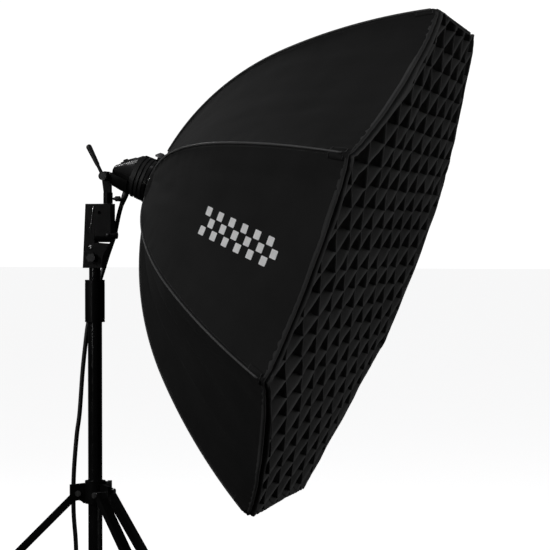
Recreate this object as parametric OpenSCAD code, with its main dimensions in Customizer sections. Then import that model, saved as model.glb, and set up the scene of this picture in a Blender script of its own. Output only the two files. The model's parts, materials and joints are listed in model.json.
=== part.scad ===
// Octagonal studio softbox on a flash head, with its tilting mount, swivel adapter, stand and cable.
// The origin is on the floor under the stand's column, +Z is up and the softbox faces -Y.

/* [Softbox] */
// Width of the front from flat to flat
softbox_width = 1200; // [1000:10:1250]
// Depth from the speedring to the front edge
softbox_depth = 541; // [500:1:600]
// Angle through which each rod bends in its rear half
rod_bend_rear = 34; // [28:0.5:35]
// Angle through which each rod bends in its front half
rod_bend_front = 15; // [12:0.5:18]
// Diameter of the spring steel rods
rod_d = 5; // [4:0.5:6]
// How far the front diffuser sits behind the front edge
front_recess = 46; // [40:1:60]
// Half the width of one diamond cell of the fabric grid
grid_half_w = 61; // [50:1:80]
// Half the height of one diamond cell of the fabric grid
grid_half_h = 48; // [40:1:60]
// Diameter of the speedring
ring_d = 148; // [144:1:152]

/* [Head] */
// Downward tilt of the head's axis
head_tilt = 20.9; // [15:0.1:21]
// Distance from the column's axis to the speedring
ring_reach = 164.7; // [164:0.1:166]
// Height of the speedring's centre over the floor
ring_height = 1262; // [1260:1:1264]
// Diameter of the head's front barrel
barrel_d = 100; // [98:1:100]

/* [Stand] */
// Outside diameter of the lower column tube
column_d = 34.5; // [34:0.5:35]
// Outside diameter of the riser tube
riser_d = 28; // [27:0.5:28]
// Height of the leg pivots over the floor
leg_pivot_z = 515; // [505:1:525]
// Distance from the column's axis to the leg pivots
leg_pivot_r = 42; // [41:1:44]
// Angle of the legs from vertical
leg_angle = 45.2; // [44:0.2:46]
// Direction of the first leg, counterclockwise from +X
first_leg_azimuth = -10; // [-20:1:0]

/* [Cable] */
// Diameter of the head's cable
cable_d = 11; // [10:0.5:12]
// Number of turns lying side by side in each layer of the coil
coil_turns_wide = 4; // [3:1:4]

/* [Hidden] */
$fn = 64;
facets = 32;                        // sides of the discs inside a hull
slip = 0.05;                        // radial clearance of a running fit
gap = 0.4;                          // clearance between parts that pass each other
legs = 3;
corners = 8;

// softbox, in the head's own frame: z along the axis to the front, y up
corner_r = softbox_width / 2 / cos(180 / corners);
rod_start = [ring_d / 2 - 12, 0];   // radius and axial place of a rod's root
rod_end = [corner_r - 4, softbox_depth - 6];
rear_share = 0.535;                 // share of a rod's length that bends on its rear arc
rear_unit = rear_share * 180 / (PI * rod_bend_rear);            // arc radii of a rod of length 1
front_unit = (1 - rear_share) * 180 / (PI * rod_bend_front);
unit_end = rear_unit * [sin(rod_bend_rear), 1 - cos(rod_bend_rear)]
    + front_unit * [sin(rod_bend_rear + rod_bend_front) - sin(rod_bend_rear),
        cos(rod_bend_rear) - cos(rod_bend_rear + rod_bend_front)];
chord = rod_end - rod_start;
rod_length = norm(chord) / norm(unit_end);
rear_r = rear_unit * rod_length;
front_r = front_unit * rod_length;
bow_first = atan2(chord[1], chord[0]) - atan2(unit_end[1], unit_end[0]) - 90;
bow_middle = bow_first + rod_bend_rear;
rear_centre = rod_start - rear_r * [cos(bow_first), sin(bow_first)];
front_centre = rear_centre + (rear_r - front_r) * [cos(bow_middle), sin(bow_middle)];
rod_sleeve = 20;                    // length of the sleeve that joins a rod's two bends
fabric = 1.2;                       // thickness of the sewn fabric with its lining
fabric_in = rod_d / 2 + 1;          // from a rod's axis to the fabric's inner face
shell_from = 0.024;                 // share of a rod's length where the fabric begins
shell_rings = 14;
front_z = softbox_depth;
diffuser_z = front_z - front_recess;
baffle_z = 281;
grid_wall = 1.4;
grid_depth = front_recess - 4;
grid_r = corner_r - 32;

// head
barrel_r = barrel_d / 2;
barrel_back = -62;
keel_pivot = [-132.6, -29];         // axial place and height of the tilt pivot in the head's frame
tilt_y = -ring_reach - keel_pivot[0] * cos(head_tilt) - keel_pivot[1] * sin(head_tilt);
tilt_z = ring_height - keel_pivot[0] * sin(head_tilt) + keel_pivot[1] * cos(head_tilt);
tongue_w = 13;
tilt_bolt_r = 4;
lever_tip = [38, 75];               // from the tilt pivot, in Y and Z
lever_x = -26;
clamp_z = -20.5;                    // axial place of the clamp screw on the adapter ring
gland_at = [17, -46, -78];          // root of the cable gland in the head's frame
gland_tube = 12;                    // length of its straight part
gland_bell = 24;                    // length of its narrowing part

// swivel adapter
stud_r = 8;
stud_y = -34;
swivel_bottom = 1061;
swivel_top = 1216;
swivel_pivot_z = 1140;
swivel_face = -5;                   // plane between the two halves
swivel_w = 34;
swivel_bolt_r = 5;
spigot_top = 1108;
spigot_knob_z = 1086;
barrel_top = 1243;
socket_r = 11.4;
socket_knob_z = 1228;

// stand
column_r = column_d / 2;
column_wall = 1.5;
column_bottom = 72;
column_top = 965;
collar_bottom = 930;
collar_top = 1032;
collar_r = 24;
riser_r = riser_d / 2;
riser_bottom = 120;
collar_knob_z = 985;
collar_knob_azimuth = 19.5;
hub_r = 25;
hub_bottom = 490;
hub_top = 545;
leg_w = 22;
leg_d = 17;
leg_offset = -13;                   // the legs sit beside the arms of their collar
arm_near = leg_offset + leg_w / 2 + gap + 0.1;
arm_far = arm_near + 9;
arm_tip = 62;
leg_bolt_r = 4;
foot_r = 15;
foot_sink = 4;                      // how much of the foot's ball is cut flat
leg_length = (leg_pivot_z - foot_r + foot_sink) / cos(leg_angle);
brace_at = 350;                     // along the leg from its pivot
brace_low = [34, 95];               // radius and height of the lower brace pivots
brace_high = [leg_pivot_r + brace_at * sin(leg_angle), leg_pivot_z - brace_at * cos(leg_angle)];
brace_run = brace_high - brace_low;
brace_length = norm(brace_run);
brace_angle = atan2(brace_run[0], brace_run[1]);
brace_t = 4;
brace_w = 13;
brace_pin_r = 3;

// cable route from the gland to the coil, points chosen by hand
cable_r = cable_d / 2;
cable_start_y = gland_at[1] - gland_tube - gland_bell - 0.3;
cable_start = [gland_at[0], -ring_reach - gland_at[2] * cos(head_tilt) - cable_start_y * sin(head_tilt),
    ring_height - gland_at[2] * sin(head_tilt) + cable_start_y * cos(head_tilt)];
cable_points = [cable_start, [19, -56, 1194], [34, -45, 1168], [49, -33, 1138], [59, -13, 1092],
    [58, 7, 1030], [52, 22, 975], [47, 34, 925], [45, 41, 870], [44, 48, 804], [42, 55, 705],
    [40, 62, 649], [38, 69, 555], [41, 71, 463], [49, 68, 378], [60, 72, 295], [76, 83, 210],
    [93, 101, 135], [107, 123, 78], [119, 147, 38], [127, 172, 14], [129.5, 196, cable_r]];
cable_smooth = 3;                   // rings swept for each step between route points
cable_sides = 10;
coil_mid_r = 66;
coil_layers = 2;
coil_half = coil_turns_wide * cable_r;
coil_centre = [212, 212];
coil_height = coil_layers * cable_d;
coil_outer_r = coil_mid_r + (coil_turns_wide - 1) * cable_r;    // radius of the outermost turn
tie_w = 16;
tie_t = 1.6;
tie_half = coil_half + 1;           // the tie's inner faces clear the coil's curve
plug_r = 17;
plug_from = 50;                     // from the coil's centre to the plug's tail
plug_tail = 20;                     // length of cable between the coil and the plug

function bow_angle(t) = t < rear_share ? bow_first + rod_bend_rear * t / rear_share
    : bow_middle + rod_bend_front * (t - rear_share) / (1 - rear_share);
function arc_normal(t) = [cos(bow_angle(t)), sin(bow_angle(t))];
function arc_point(t) = t < rear_share ? rear_centre + rear_r * arc_normal(t)
    : front_centre + front_r * arc_normal(t);
function profile(t, off) = arc_point(t) + off * arc_normal(t);
function corner_angle(k) = 90 + 180 / corners + k * 360 / corners;
function ring_points(p) = [for (k = [0:corners - 1])
    [p[0] * cos(corner_angle(k)), p[0] * sin(corner_angle(k)), p[1]]];
function shell_t(i) = shell_from + (1 - shell_from) * i / shell_rings;
function catmull(a, b, c, d, t) = 0.5 * ((2 * b) + (c - a) * t
    + (2 * a - 5 * b + 4 * c - d) * t * t + (3 * b - a - 3 * c + d) * t * t * t);
function at(list, i) = list[max(0, min(len(list) - 1, i))];
function smooth(list, n) = [for (i = [0:len(list) - 2]) for (j = [0:n - 1])
    catmull(at(list, i - 1), at(list, i), at(list, i + 1), at(list, i + 2), j / n),
    list[len(list) - 1]];
function unit(v) = v / norm(v);
function heading(list, i) = unit(at(list, i + 1) - at(list, i - 1));

// Moves children from the head's own frame to their place
module head_frame() {
    translate([0, -ring_reach, ring_height]) rotate([90 + head_tilt, 0, 0]) children();
}

module pipe(outer, inner, low, high) {
    translate([0, 0, low]) difference() {
        cylinder(r = outer, h = high - low);
        translate([0, 0, -1]) cylinder(r = inner, h = high - low + 2);
    }
}

// A rod of radius r from a point along X, of length l
module bar_x(r, l) {
    rotate([0, 90, 0]) cylinder(r = r, h = l);
}

// A rod of radius r from a point along +Y, of length l
module bar_y(r, l) {
    rotate([-90, 0, 0]) cylinder(r = r, h = l);
}

// A fluted hand knob with its axis along Z, standing on z = 0
module fluted_knob(r, h, flutes) {
    flute_r = r * 0.16;
    difference() {
        union() {
            cylinder(r = r * 0.55, h = h);
            translate([0, 0, h * 0.3]) cylinder(r = r, h = h * 0.7);
        }
        for (i = [0:flutes - 1]) rotate(i * 360 / flutes)
            translate([r, 0, -1]) cylinder(r = flute_r, h = h + 2);
    }
}

module place_leg(i) {
    rotate(first_leg_azimuth + i * 360 / legs) children();
}

module octagon(r) {
    rotate(90 + 180 / corners) circle(r = r, $fn = corners);
}

// ---- stand ----

module column_tube() {
    color("#1b1b1d") pipe(column_r, column_r - column_wall, column_bottom, column_top);
}

module column_collar() {
    color("#161617") difference() {
        translate([0, 0, collar_bottom]) cylinder(r = collar_r, h = collar_top - collar_bottom);
        translate([0, 0, collar_bottom - 1])
            cylinder(r = column_r + slip, h = column_top - collar_bottom + 1.2);
        translate([0, 0, collar_bottom]) cylinder(r = riser_r + slip, h = collar_top - collar_bottom + 1);
        rotate(collar_knob_azimuth) translate([riser_r - 1, 0, collar_knob_z]) bar_x(4 + slip, collar_r);
        for (z = [collar_bottom + 5, collar_top - 6]) translate([0, 0, z]) difference() {
            cylinder(r = collar_r + 1, h = 1.4);
            translate([0, 0, -1]) cylinder(r = collar_r - 0.8, h = 4);
        }
    }
}

module collar_screw() {
    color("#9a9c9f") rotate(collar_knob_azimuth) translate([riser_r + gap, 0, collar_knob_z])
        bar_x(4, collar_r - riser_r + 8);
}

module collar_knob() {
    color("#101011") rotate(collar_knob_azimuth) translate([collar_r + gap, 0, collar_knob_z])
        rotate([0, 90, 0]) difference() {
            fluted_knob(17, 20, 8);
            translate([0, 0, -1]) cylinder(r = 4 + slip, h = 9.2);
        }
}

module base_collar() {
    color("#161617") difference() {
        union() {
            translate([0, 0, column_bottom + 3]) cylinder(r = hub_r, h = 40);
            for (i = [0:legs - 1]) place_leg(i)
                translate([15, arm_near + brace_t + gap, brace_low[1] - 9]) cube([27, 6, 18]);
        }
        cylinder(r = column_r + slip, h = 200);
        for (i = [0:legs - 1]) place_leg(i) {
            translate([brace_low[0], 0, brace_low[1]]) bar_y(brace_pin_r + slip, 30);
            translate([26, -30, brace_low[1] - 30]) cube([30, 30 + arm_near + brace_t + gap, 60]);
        }
    }
}

module base_plug() {
    color("#0e0e0f") union() {
        translate([0, 0, column_bottom - 4]) cylinder(r = column_r, h = 3.9);
        translate([0, 0, column_bottom - 2]) cylinder(r = column_r - column_wall - slip, h = 20);
    }
}

module riser_tube() {
    color("#232325") pipe(riser_r, riser_r - column_wall, riser_bottom, swivel_bottom - 16);
}

// Solid top fitting of the riser: a neck inside the tube, a shoulder and the 16 mm stud
module spigot() {
    color("#a9abae") union() {
        translate([0, 0, collar_top - 30]) cylinder(r = riser_r - column_wall - slip, h = 43);
        translate([0, 0, swivel_bottom - 15.9]) cylinder(r = riser_r, h = 15.5);
        translate([0, 0, swivel_bottom - 1]) cylinder(r = stud_r, h = spigot_top - swivel_bottom);
    }
}

module leg_collar() {
    color("#161617") difference() {
        union() {
            translate([0, 0, hub_bottom]) cylinder(r = hub_r, h = hub_top - hub_bottom);
            for (i = [0:legs - 1]) place_leg(i) translate([0, arm_far, 0]) rotate([90, 0, 0])
                linear_extrude(arm_far - arm_near) difference() {
                    polygon([[19, hub_top - 5], [arm_tip, hub_top - 9], [arm_tip, hub_bottom + 1],
                        [19, hub_bottom + 1]]);
                    translate([41, hub_bottom - 5]) circle(r = 13);
                }
        }
        translate([0, 0, hub_bottom - 1]) cylinder(r = column_r + 0.08, h = hub_top - hub_bottom + 2);
        for (i = [0:legs - 1]) place_leg(i)
            translate([leg_pivot_r, -6, leg_pivot_z]) bar_y(leg_bolt_r + slip, 36);
        rotate(first_leg_azimuth - 60) translate([column_r - 8, 0, hub_top - 12]) bar_x(3 + slip, 28);
    }
}

// Leg pivot bolts with a head outside the arm and a nut outside the leg
module leg_bolts() {
    color("#8f9194") for (i = [0:legs - 1]) place_leg(i) translate([leg_pivot_r, 0, leg_pivot_z]) {
        translate([0, leg_offset - leg_w / 2 - gap - 5, 0]) bar_y(leg_bolt_r, 41);
        translate([0, arm_far + 0.1, 0]) bar_y(7, 4);
        translate([0, leg_offset - leg_w / 2 - gap - 6, 0]) bar_y(7, 6);
    }
}

module leg_collar_screw() {
    color("#9a9c9f") rotate(first_leg_azimuth - 60)
        translate([column_r + gap, 0, hub_top - 12]) bar_x(3, 15.8);
}

module leg_collar_knob() {
    color("#101011") rotate(first_leg_azimuth - 60) translate([hub_r + gap, 0, hub_top - 12])
        rotate([0, 90, 0]) difference() {
            fluted_knob(12, 15, 6);
            translate([0, 0, -1]) cylinder(r = 3 + slip, h = 9.2);
        }
}

// A leg: square tube with a round pivot end, lying along the leg's slope
module leg(i) {
    color("#1d1d1f") place_leg(i) difference() {
        translate([leg_pivot_r, leg_offset, leg_pivot_z]) rotate([0, -leg_angle, 0]) union() {
            translate([0, -leg_w / 2, 0]) bar_y(leg_d / 2, leg_w);
            translate([-leg_d / 2, -leg_w / 2, 6 - leg_length]) cube([leg_d, leg_w, leg_length - 6]);
        }
        translate([leg_pivot_r, -40, leg_pivot_z]) bar_y(leg_bolt_r + slip, 80);
    }
}

// A rubber foot: a ball cut flat on the floor, with a sleeve plug in the leg's end
module foot(i) {
    color("#0b0b0c") place_leg(i) translate([leg_pivot_r, leg_offset, leg_pivot_z]) difference() {
        rotate([0, -leg_angle, 0]) translate([0, 0, -leg_length]) difference() {
            sphere(r = foot_r);
            translate([-20, -20, 5.9]) cube(40);
        }
        translate([leg_length * sin(leg_angle) - 40, -40, -leg_pivot_z - 40]) cube([80, 80, 40]);
    }
}

// A flat brace bar between the base collar and the leg, with its leg rivet
module brace(i) {
    color("#232325") place_leg(i) translate([brace_low[0], arm_near - 0.2, brace_low[1]])
        rotate([0, brace_angle, 0]) difference() {
            union() {
                for (z = [0, brace_length]) translate([0, 0, z]) bar_y(brace_w / 2, brace_t);
                translate([-brace_w / 2, 0, 0]) cube([brace_w, brace_t, brace_length]);
                translate([0, 0, brace_length]) bar_y(5, brace_t + 3);
            }
            translate([0, -1, 0]) bar_y(brace_pin_r + slip, brace_t + 2);
        }
}

module brace_pins() {
    color("#8f9194") for (i = [0:legs - 1]) place_leg(i) translate([brace_low[0], 0, brace_low[1]]) {
        translate([0, arm_near - 0.2, 0]) bar_y(brace_pin_r, brace_t + 14);
        translate([0, arm_near + brace_t + gap + 6.2, 0]) bar_y(5.5, 3);
    }
}

// ---- swivel adapter ----

module swivel_lower() {
    half = swivel_w / 2;
    color("#19191b") difference() {
        translate([-half, 0, 0]) rotate([90, 0, 90]) linear_extrude(swivel_w)
            polygon([[25, swivel_bottom], [18, swivel_top], [swivel_face, swivel_top], [swivel_face, 1122],
                [-43, 1119], [-26, 1091], [-24, swivel_bottom]]);
        translate([0, 0, swivel_bottom - 1]) cylinder(r = stud_r + slip, h = spigot_top - swivel_bottom + 1);
        translate([0, swivel_face - 1, swivel_pivot_z]) bar_y(swivel_bolt_r + slip, 60);
        translate([-half - 1, 0, spigot_knob_z]) bar_x(3 + slip, half + 1);
    }
}

module spigot_knob() {
    color("#101011") translate([-stud_r - gap, 0, spigot_knob_z]) rotate([0, -90, 0]) union() {
        cylinder(r = 3, h = swivel_w / 2 - stud_r + 3);
        translate([0, 0, swivel_w / 2 - stud_r]) fluted_knob(11, 13, 6);
    }
}

module swivel_upper() {
    half = swivel_w / 2;
    near = swivel_face - gap;
    far = -46;
    color("#131314") difference() {
        union() {
            translate([0, far, swivel_pivot_z]) bar_y(half, near - far);
            translate([-half, far, swivel_pivot_z])
                cube([swivel_w, near - far, swivel_top - swivel_pivot_z]);
        }
        translate([0, far - 1, swivel_pivot_z]) bar_y(swivel_bolt_r + slip, 60);
        translate([0, stud_y, swivel_top - 38]) cylinder(r = stud_r + slip, h = 40);
        translate([-half - 1, (near + far) / 2 + 8, swivel_top - 22]) bar_x(4.5, swivel_w + 2);
    }
}

module top_stud() {
    color("#a9abae") translate([0, stud_y, swivel_top - 37.9]) cylinder(r = stud_r, h = 60);
}

module swivel_bolt() {
    color("#8f9194") translate([0, -47, swivel_pivot_z]) union() {
        bar_y(swivel_bolt_r, 66);
        translate([0, -5, 0]) bar_y(swivel_bolt_r, 6);
    }
}

// Ratchet lever on the swivel's bolt, pointing to -X
module swivel_lever() {
    color("#101011") difference() {
        union() {
            translate([0, -57, swivel_pivot_z]) bar_y(9, 10);
            translate([-52, -52, swivel_pivot_z]) bar_x(4.5, 50);
            translate([-52, -52, swivel_pivot_z]) sphere(r = 6);
        }
        translate([0, -53, swivel_pivot_z]) bar_y(swivel_bolt_r + slip, 20);
    }
}

// ---- head mount ----

// Socket over the stud, with a tongue up to the tilt pivot
module tilt_socket() {
    color("#141415") difference() {
        union() {
            translate([0, stud_y, swivel_top + gap])
                cylinder(r = socket_r, h = barrel_top - swivel_top - gap);
            hull() {
                translate([-tongue_w / 2, tilt_y, tilt_z]) rotate([0, 90, 0])
                    cylinder(r = 11, h = tongue_w, $fn = facets);
                translate([-tongue_w / 2, stud_y - 8, barrel_top - 8]) cube([tongue_w, 16, 6]);
            }
            translate([-tongue_w / 2, tilt_y, tilt_z]) bar_x(11, tongue_w);
        }
        translate([0, stud_y, swivel_top - 1]) cylinder(r = stud_r + slip, h = 24);
        translate([-20, tilt_y, tilt_z]) bar_x(tilt_bolt_r + slip, 40);
        translate([0, stud_y - 20, socket_knob_z]) bar_y(2.5 + slip, 14);
    }
}

module socket_knob() {
    color("#101011") translate([0, stud_y - stud_r - gap, socket_knob_z]) rotate([90, 0, 0]) union() {
        cylinder(r = 2.5, h = 8);
        translate([0, 0, 6]) fluted_knob(6.5, 16, 6);
    }
}

module tilt_bolt() {
    color("#8f9194") translate([0, tilt_y, tilt_z]) {
        translate([lever_x - 5, 0, 0]) bar_x(tilt_bolt_r, 24 - lever_x);
        translate([14.2, 0, 0]) bar_x(8, 5);
    }
}

module tilt_lever() {
    reach = norm(lever_tip);
    lean = atan2(lever_tip[0], lever_tip[1]);
    color("#121213") difference() {
        translate([lever_x, tilt_y, tilt_z]) union() {
            translate([-6, 0, 0]) bar_x(10, 12);
            bar_x(7.5, -14.2 - lever_x);
            rotate([-lean, 0, 0]) cylinder(r = 4.2, h = reach - 34);
        }
        translate([lever_x - 5.2, tilt_y, tilt_z]) bar_x(tilt_bolt_r + slip, 40);
    }
}

module lever_grip() {
    reach = norm(lever_tip);
    lean = atan2(lever_tip[0], lever_tip[1]);
    color("#0d0d0e") translate([lever_x, tilt_y, tilt_z]) rotate([-lean, 0, 0]) difference() {
        hull() {
            translate([0, 0, 30]) cylinder(r = 5.2, h = 1, $fn = facets);
            translate([0, 0, reach - 6]) sphere(r = 7, $fn = facets);
        }
        translate([0, 0, 28]) cylinder(r = 4.2 + slip, h = reach - 61.9);
    }
}

// ---- head, in the head's own frame ----

// Keel under the head with two ears round the tongue
module head_keel() {
    ear = 6.5;
    inner = tongue_w / 2 + gap;
    color("#151516") difference() {
        head_frame() union() {
            for (x = [-inner - ear, inner]) hull() {
                translate([x, keel_pivot[1], keel_pivot[0]]) rotate([0, 90, 0])
                    cylinder(r = 12, h = ear, $fn = facets);
                translate([x, -46, -84]) cube([ear, 7, 5]);
            }
            translate([-inner - ear, -47, -84]) cube([2 * (inner + ear), 8, 44]);
            for (x = [-inner - ear, inner]) translate([x, keel_pivot[1], keel_pivot[0]]) bar_x(12, ear);
            cradle();
        }
        translate([-30, tilt_y, tilt_z]) bar_x(tilt_bolt_r + slip, 60);
    }
}

// Lower cover round the underside of the rear housing, open for the mount's tongue
module cradle() {
    difference() {
        union() {
            intersection() {
                hull() {
                    translate([0, 0, -64]) cylinder(r = barrel_r + 3.4, h = 1, $fn = 48);
                    translate([0, keel_pivot[1] + 2, keel_pivot[0] + 6]) cylinder(r = 13.4, h = 1, $fn = 48);
                }
                translate([-60, -47, -140]) cube([120, 31, 77]);
            }
            translate([gland_at[0], -47, gland_at[2]]) rotate([-90, 0, 0]) cylinder(r = 10, h = 18);
        }
        hull() {
            translate([0, 0, -63]) cylinder(r = barrel_r + 0.4, h = 3, $fn = 48);
            translate([0, -6, -118.4]) scale([1.5, 1, 1]) cylinder(r = 12.4, h = 1, $fn = facets);
        }
        translate([-tongue_w / 2 - gap, -60, -150]) cube([tongue_w + 2 * gap, 60, 54]);
        for (x = [-34, 13.6]) translate([x, keel_pivot[1], keel_pivot[0]]) bar_x(12.5, 20.4);
    }
}

// Clearance for the keel's plate through the housing, the barrel and the rubber ring
module keel_slot() {
    half = tongue_w / 2 + 2 * gap + 6.5;
    translate([-half, -60, -86]) cube([2 * half, 21.4, 46 + gap]);
}

// Rear housing: a hollow shell that tapers to a low back end
module head_shell() {
    wall = 2.5;
    color("#1c1c1e") head_frame() difference() {
        hull() {
            translate([0, 0, barrel_back]) cylinder(r = barrel_r, h = 1, $fn = 48);
            translate([0, -6, -118]) scale([1.5, 1, 1]) cylinder(r = 12, h = 1, $fn = facets);
        }
        hull() {
            translate([0, 0, barrel_back]) cylinder(r = barrel_r - wall, h = 2, $fn = 48);
            translate([0, -6, -114]) scale([1.5, 1, 1]) cylinder(r = 9, h = 1, $fn = facets);
        }
        panel_frame() cube([31, 40, 23], center = true);
        keel_slot();
    }
}

// Moves children to the middle of the sloped control panel, with z outwards
module panel_frame() {
    translate([0, 27, -90]) rotate([-128, 0, 0]) children();
}

module head_barrel() {
    color("#222224") head_frame() difference() {
        pipe(barrel_r - 3, barrel_r - 6, barrel_back + 1.2, 14);
        keel_slot();
    }
}

// Rubber ring with ridges over the barrel
module grip_ring() {
    ridges = 3;
    pitch = 10.5;
    color("#101011") head_frame() difference() {
        union() {
            pipe(barrel_r, barrel_r - 3 + slip, barrel_back + 1.2, -26);
            for (i = [0:ridges - 1]) pipe(barrel_r + 3, barrel_r - 2, i * pitch - 55, i * pitch - 48.5);
        }
        keel_slot();
    }
}

// Clamp screw with a domed knob on top of the adapter ring
module clamp_knob() {
    color("#6f7173") head_frame() translate([0, barrel_r + 2, clamp_z]) rotate([-90, 0, 0]) union() {
        cylinder(r = 3, h = 8);
        translate([0, 0, 7.6]) cylinder(r = 14, h = 4);
        translate([0, 0, 11.6]) cylinder(r1 = 14, r2 = 5, h = 8, $fn = 48);
    }
}

module control_panel() {
    color("#2a2a2c") head_frame() panel_frame() difference() {
        translate([-15, -19.5, -1]) cube([30, 39, 2.4]);
        translate([0, 10, -3]) cylinder(r = 7.2, h = 8);
        translate([-6.2, -15.2, -3]) cube([12.4, 16.4, 8]);
        translate([-7.6, -7, 0]) bar_x(0.8 + slip, 15.2);
    }
}

module power_switch() {
    color("#d8d8d6") head_frame() panel_frame() translate([0, -7, 0]) union() {
        rotate([8, 0, 0]) translate([-5.4, -6.8, -2]) cube([10.8, 13.6, 5]);
        translate([-7.4, 0, 0]) bar_x(0.8, 14.8);
    }
}

module dimmer_dial() {
    color("#0f0f10") head_frame() panel_frame() translate([0, 10, -1]) difference() {
        union() {
            cylinder(r = 6.8, h = 6);
            translate([0, 0, 6]) cylinder(r = 5.4, h = 1.5);
        }
        translate([-0.7, 1, 6.5]) cube([1.4, 6, 2]);
    }
}

module glass_dome() {
    color("#dfe7ea") head_frame() difference() {
        union() {
            translate([0, 0, 4]) cylinder(r = 34, h = 30);
            translate([0, 0, 34]) sphere(r = 34);
        }
        translate([0, 0, 3]) cylinder(r = 31.5, h = 31);
        translate([0, 0, 34]) sphere(r = 31.5);
        translate([0, 0, -6]) cylinder(r = 60, h = 10);
    }
}

module flash_tube() {
    color("#e9eef0") head_frame() union() {
        translate([0, 0, 24]) rotate_extrude() translate([24, 0]) circle(r = 2.8);
        for (a = [0, 180]) rotate(a) translate([24, 0, 3.2]) cylinder(r = 3.4, h = 21);
    }
}

module modelling_lamp() {
    color("#f2ead2") head_frame() union() {
        translate([0, 0, 6]) cylinder(r = 6, h = 14);
        translate([0, 0, 20]) cylinder(r = 8, h = 22);
        translate([0, 0, 42]) sphere(r = 8);
    }
}

module lamp_socket() {
    color("#e4e0d6") head_frame() union() {
        translate([0, 0, -2]) cylinder(r = barrel_r - 6 - gap, h = 5);
        translate([0, 0, -26]) cylinder(r = 17, h = 24.2);
        translate([0, 0, 2]) cylinder(r = 10, h = 3.8);
    }
}

// Cable gland under the head: a collar and a bell that narrows to the cable
module cable_gland() {
    color("#0d0d0e") head_frame() difference() {
        translate(gland_at) rotate([90, 0, 0]) union() {
            cylinder(r = 8, h = gland_tube);
            translate([0, 0, gland_tube]) cylinder(r1 = 8, r2 = cable_r, h = gland_bell, $fn = 48);
        }
        translate([0, -21, -100]) cube([100, 52.2, 200], center = true);
    }
}

// ---- softbox, in the head's own frame ----

module adapter_ring() {
    color("#b4b6b9") head_frame() difference() {
        union() {
            pipe(barrel_r + 1.6, barrel_r - 3 + 0.1, -25.6, -10);
            pipe(barrel_r + 5, barrel_r - 3 + 0.1, -23.6, -17.4);
            pipe(barrel_r + 9, barrel_r - 3 + 0.1, -11, -6.2);
            pipe(barrel_r + 6, barrel_r - 3 + 0.1, -7, 12);
            translate([-7, barrel_r, -25.6]) cube([14, 9, 12]);
        }
        translate([0, barrel_r - 4, clamp_z]) rotate([-90, 0, 0]) cylinder(r = 3 + slip, h = 20);
    }
}

// Speedring with eight sockets drilled along the rods' roots
module speedring() {
    color("#9da0a3") head_frame() difference() {
        pipe(ring_d / 2 - 6, barrel_r + 6 + slip, -5.8, 8);
        for (k = [0:corners - 1]) rod_plane(k)
            translate(rod_start) rotate(bow_first) rotate([-90, 0, 0])
                translate([0, 0, -8]) cylinder(r = 3.6 + slip, h = 40);
    }
}

// Turns the drawing plane to the plane of rod k: x is the radius and y runs along the axis
module rod_plane(k) {
    rotate(corner_angle(k)) rotate([90, 0, 0]) children();
}

module rod_ferrules() {
    color("#8f9194") head_frame() for (k = [0:corners - 1]) rod_plane(k)
        translate(rod_start) rotate(bow_first) rotate([-90, 0, 0]) difference() {
            translate([0, 0, -3]) cylinder(r = 3.6, h = 17);
            cylinder(r = rod_d / 2 + 0.3, h = 20);
        }
}

module rods() {
    color("#77797c") head_frame() for (k = [0:corners - 1]) rod_plane(k) {
        translate(rear_centre) rotate(bow_first) rotate_extrude(angle = rod_bend_rear - 0.2)
            translate([rear_r, 0]) circle(r = rod_d / 2);
        translate(front_centre) rotate(bow_middle) {
            rotate_extrude(angle = rod_bend_front * 0.968)
                translate([front_r, 0]) circle(r = rod_d / 2);
            translate([front_r, -rod_sleeve / 2, 0]) bar_y(rod_d / 2 + 0.2, rod_sleeve);
        }
    }
}

module outer_shell() {
    n = shell_rings;
    inside = [for (i = [0:n]) each ring_points(profile(shell_t(i), fabric_in))];
    outside = [for (i = [0:n]) each ring_points(profile(shell_t(i), fabric_in + fabric))];
    base = len(inside);
    side_faces = [for (i = [0:n - 1]) for (k = [0:corners - 1]) let (
        a = i * corners + k, b = i * corners + (k + 1) % corners)
        each [[a, b, b + corners, a + corners],
            [base + b, base + a, base + a + corners, base + b + corners]]];
    end_faces = [for (k = [0:corners - 1]) let (b = (k + 1) % corners, m = n * corners)
        each [[b, k, base + k, base + b], [m + k, m + b, base + m + b, base + m + k]]];
    color("#171719") head_frame()
        polyhedron(concat(inside, outside), concat(side_faces, end_faces), convexity = 6);
}

// Elastic cuff that closes the fabric on the speedring
module rear_cuff() {
    p = profile(shell_from, fabric_in);
    color("#0f0f10") head_frame()
        pipe(p[0] * cos(180 / corners) - 0.6, ring_d / 2 - 6 + gap, p[1] - 12, p[1] - 6);
}

// Binding tape round the front edge
module rim_binding() {
    outer = profile(1, fabric_in + fabric)[0] + 1.6;
    color("#2b2b2d") head_frame() translate([0, 0, profile(1, fabric_in)[1] + 0.3])
        linear_extrude(5) difference() {
            octagon(outer);
            octagon(outer - 7);
        }
}

module inner_baffle() {
    color("#f1f1ee") head_frame() translate([0, 0, baffle_z]) linear_extrude(0.8) octagon(400);
}

module front_diffuser() {
    color("#f4f4f2") head_frame() translate([0, 0, diffuser_z]) linear_extrude(0.8) octagon(grid_r);
}

// Fabric grid of diamond cells in a perimeter band
module softgrid() {
    half = softbox_width / 2;
    cols = ceil(half / grid_half_w);
    rows = ceil(half / grid_half_h);
    inset = grid_wall / 2 / cos(atan2(grid_half_h, grid_half_w));
    color("#121213") head_frame() translate([0, 0, front_z - grid_depth])
        linear_extrude(grid_depth) difference() {
        octagon(grid_r);
        intersection() {
            octagon(grid_r - 2);
            union() for (i = [-cols:cols]) for (j = [-rows:rows]) if ((i + j) % 2 == 0)
                translate([i * grid_half_w, j * grid_half_h])
                    polygon([[grid_half_w - inset, 0], [0, (grid_half_w - inset) * grid_half_h / grid_half_w],
                        [inset - grid_half_w, 0], [0, (inset - grid_half_w) * grid_half_h / grid_half_w]]);
        }
    }
}

// ---- cable ----

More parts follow.
